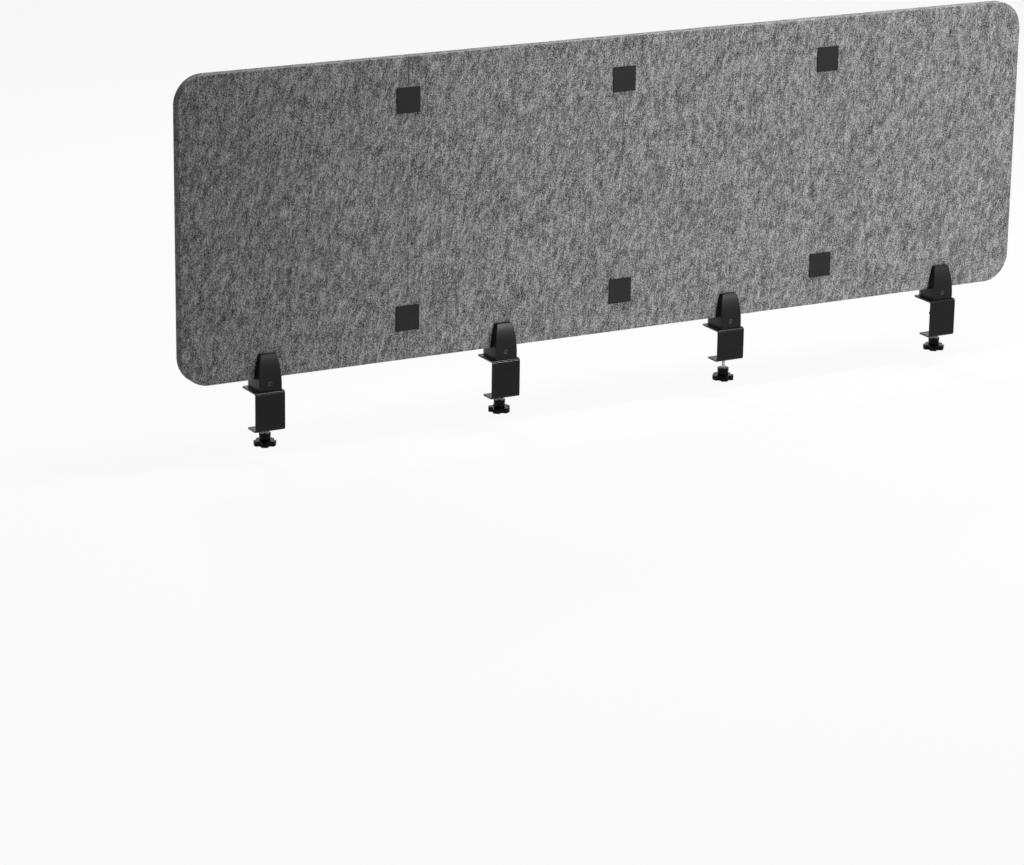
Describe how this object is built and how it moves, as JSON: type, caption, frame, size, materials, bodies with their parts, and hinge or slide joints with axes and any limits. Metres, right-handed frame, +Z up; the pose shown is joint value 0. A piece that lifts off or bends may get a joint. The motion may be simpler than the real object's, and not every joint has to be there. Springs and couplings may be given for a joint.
{
  "type": "desk-mounted acoustic divider screen",
  "caption": "Long grey felt privacy screen with rounded corners, tied at its seams by square plates and held on a desk edge by black pinch clamps with star-knob screws.",
  "frame": {"origin": "where the plane of the desk's top meets the plane of its edge, half way along the screen: under the clamps' liners and on the inner faces of their spines", "axes": "+X along the screen to the right as seen from outside the desk, +Y from the desk's edge over the desk, through the screen's thickness, +Z up"},
  "size_m": [1.6, 0.052, 0.611],
  "materials": {
    "felt": "pressed mid-grey marl felt, dull",
    "plate_coat": "black powder coat, semi-matt",
    "bracket_coat": "fine black powder coat on bent sheet steel",
    "holder_coat": "fine black powder coat on a casting",
    "black_screw": "black oxide, satin",
    "liner_rubber": "matt black rubber sheet",
    "pad_plastic": "matt black moulding",
    "screw_steel": "zinc-plated steel, threaded",
    "knob_plastic": "glossy black moulding"
  },
  "bodies": {
    "panel": {"front_felt_board_1": "felt", "front_felt_board_2": "felt", "front_felt_board_3": "felt", "front_felt_board_4": "felt", "rear_felt_board_1": "felt", "rear_felt_board_2": "felt", "rear_felt_board_3": "felt", "rear_felt_board_4": "felt", "front_joining_plate_lower_1": "plate_coat", "rear_joining_plate_lower_1": "plate_coat", "front_joining_plate_lower_2": "plate_coat", "rear_joining_plate_lower_2": "plate_coat", "front_joining_plate_lower_3": "plate_coat", "rear_joining_plate_lower_3": "plate_coat", "front_joining_plate_upper_1": "plate_coat", "rear_joining_plate_upper_1": "plate_coat", "front_joining_plate_upper_2": "plate_coat", "rear_joining_plate_upper_2": "plate_coat", "front_joining_plate_upper_3": "plate_coat", "rear_joining_plate_upper_3": "plate_coat", "joining_screws": "black_screw"},
    "clamp_1": {"clamp_bracket_1": "bracket_coat", "desk_liner_1": "liner_rubber", "panel_holder_1": "holder_coat", "holder_screws_1": "black_screw"},
    "rear_jaw_1": {"rear_jaw_1": "holder_coat"},
    "jaw_screw_1": {"jaw_screw_1": "black_screw"},
    "swivel_pad_1": {"swivel_pad_1": "pad_plastic"},
    "clamp_screw_1": {"clamp_screw_1": "screw_steel", "clamp_knob_1": "knob_plastic"},
    "clamp_2": {"clamp_bracket_2": "bracket_coat", "desk_liner_2": "liner_rubber", "panel_holder_2": "holder_coat", "holder_screws_2": "black_screw"},
    "rear_jaw_2": {"rear_jaw_2": "holder_coat"},
    "jaw_screw_2": {"jaw_screw_2": "black_screw"},
    "swivel_pad_2": {"swivel_pad_2": "pad_plastic"},
    "clamp_screw_2": {"clamp_screw_2": "screw_steel", "clamp_knob_2": "knob_plastic"},
    "clamp_3": {"clamp_bracket_3": "bracket_coat", "desk_liner_3": "liner_rubber", "panel_holder_3": "holder_coat", "holder_screws_3": "black_screw"},
    "rear_jaw_3": {"rear_jaw_3": "holder_coat"},
    "jaw_screw_3": {"jaw_screw_3": "black_screw"},
    "swivel_pad_3": {"swivel_pad_3": "pad_plastic"},
    "clamp_screw_3": {"clamp_screw_3": "screw_steel", "clamp_knob_3": "knob_plastic"},
    "clamp_4": {"clamp_bracket_4": "bracket_coat", "desk_liner_4": "liner_rubber", "panel_holder_4": "holder_coat", "holder_screws_4": "black_screw"},
    "rear_jaw_4": {"rear_jaw_4": "holder_coat"},
    "jaw_screw_4": {"jaw_screw_4": "black_screw"},
    "swivel_pad_4": {"swivel_pad_4": "pad_plastic"},
    "clamp_screw_4": {"clamp_screw_4": "screw_steel", "clamp_knob_4": "knob_plastic"}
  },
  "joints": [
    {"name": "clamp_1_slide", "type": "slide", "parent": "panel", "child": "clamp_1", "axis": [1, 0, 0], "range_m": [-0.065, 0.18]},
    {"name": "jaw_screw_1_turn", "type": "hinge", "parent": "clamp_1", "child": "jaw_screw_1", "pos_m": [-0.6522, 0.02, 0.0145], "axis": [0, -1, 0], "range_deg": [-1, 1351]},
    {"name": "rear_jaw_1_slide", "type": "slide", "parent": "clamp_1", "child": "rear_jaw_1", "axis": [0, 1, 0], "range_m": [0, 0.003]},
    {"name": "swivel_pad_1_slide", "type": "slide", "parent": "clamp_1", "child": "swivel_pad_1", "axis": [0, 0, 1], "range_m": [-0.026, 0.0065]},
    {"name": "clamp_screw_1_turn", "type": "hinge", "parent": "swivel_pad_1", "child": "clamp_screw_1", "pos_m": [-0.656, 0.0195, -0.0595], "axis": [0, 0, 1], "range_deg": [-9361, 2341]},
    {"name": "clamp_2_slide", "type": "slide", "parent": "panel", "child": "clamp_2", "axis": [1, 0, 0], "range_m": [-0.18, 0.18]},
    {"name": "jaw_screw_2_turn", "type": "hinge", "parent": "clamp_2", "child": "jaw_screw_2", "pos_m": [-0.2234, 0.02, 0.0145], "axis": [0, -1, 0], "range_deg": [-1, 1351]},
    {"name": "rear_jaw_2_slide", "type": "slide", "parent": "clamp_2", "child": "rear_jaw_2", "axis": [0, 1, 0], "range_m": [0, 0.003]},
    {"name": "swivel_pad_2_slide", "type": "slide", "parent": "clamp_2", "child": "swivel_pad_2", "axis": [0, 0, 1], "range_m": [-0.026, 0.0065]},
    {"name": "clamp_screw_2_turn", "type": "hinge", "parent": "swivel_pad_2", "child": "clamp_screw_2", "pos_m": [-0.2272, 0.0195, -0.0595], "axis": [0, 0, 1], "range_deg": [-9361, 2341]},
    {"name": "clamp_3_slide", "type": "slide", "parent": "panel", "child": "clamp_3", "axis": [1, 0, 0], "range_m": [-0.18, 0.18]},
    {"name": "jaw_screw_3_turn", "type": "hinge", "parent": "clamp_3", "child": "jaw_screw_3", "pos_m": [0.2134, 0.02, 0.0145], "axis": [0, -1, 0], "range_deg": [-1, 1351]},
    {"name": "rear_jaw_3_slide", "type": "slide", "parent": "clamp_3", "child": "rear_jaw_3", "axis": [0, 1, 0], "range_m": [0, 0.003]},
    {"name": "swivel_pad_3_slide", "type": "slide", "parent": "clamp_3", "child": "swivel_pad_3", "axis": [0, 0, 1], "range_m": [-0.016, 0.0165]},
    {"name": "clamp_screw_3_turn", "type": "hinge", "parent": "swivel_pad_3", "child": "clamp_screw_3", "pos_m": [0.2096, 0.0195, -0.0595], "axis": [0, 0, 1], "range_deg": [-5761, 5941]},
    {"name": "clamp_4_slide", "type": "slide", "parent": "panel", "child": "clamp_4", "axis": [1, 0, 0], "range_m": [-0.18, 0.075]},
    {"name": "jaw_screw_4_turn", "type": "hinge", "parent": "clamp_4", "child": "jaw_screw_4", "pos_m": [0.6526, 0.02, 0.0145], "axis": [0, -1, 0], "range_deg": [-1, 1351]},
    {"name": "rear_jaw_4_slide", "type": "slide", "parent": "clamp_4", "child": "rear_jaw_4", "axis": [0, 1, 0], "range_m": [0, 0.003]},
    {"name": "swivel_pad_4_slide", "type": "slide", "parent": "clamp_4", "child": "swivel_pad_4", "axis": [0, 0, 1], "range_m": [-0.026, 0.0065]},
    {"name": "clamp_screw_4_turn", "type": "hinge", "parent": "swivel_pad_4", "child": "clamp_screw_4", "pos_m": [0.6488, 0.0195, -0.0595], "axis": [0, 0, 1], "range_deg": [-9361, 2341]}
  ],
  "couplings": [
    {"joint": "jaw_screw_1_turn", "follows": "rear_jaw_1_slide", "rad_per_m": 7854},
    {"joint": "clamp_screw_1_turn", "follows": "swivel_pad_1_slide", "rad_per_m": 6283.2},
    {"joint": "jaw_screw_2_turn", "follows": "rear_jaw_2_slide", "rad_per_m": 7854},
    {"joint": "clamp_screw_2_turn", "follows": "swivel_pad_2_slide", "rad_per_m": 6283.2},
    {"joint": "jaw_screw_3_turn", "follows": "rear_jaw_3_slide", "rad_per_m": 7854},
    {"joint": "clamp_screw_3_turn", "follows": "swivel_pad_3_slide", "rad_per_m": 6283.2},
    {"joint": "jaw_screw_4_turn", "follows": "rear_jaw_4_slide", "rad_per_m": 7854},
    {"joint": "clamp_screw_4_turn", "follows": "swivel_pad_4_slide", "rad_per_m": 6283.2}
  ]
}
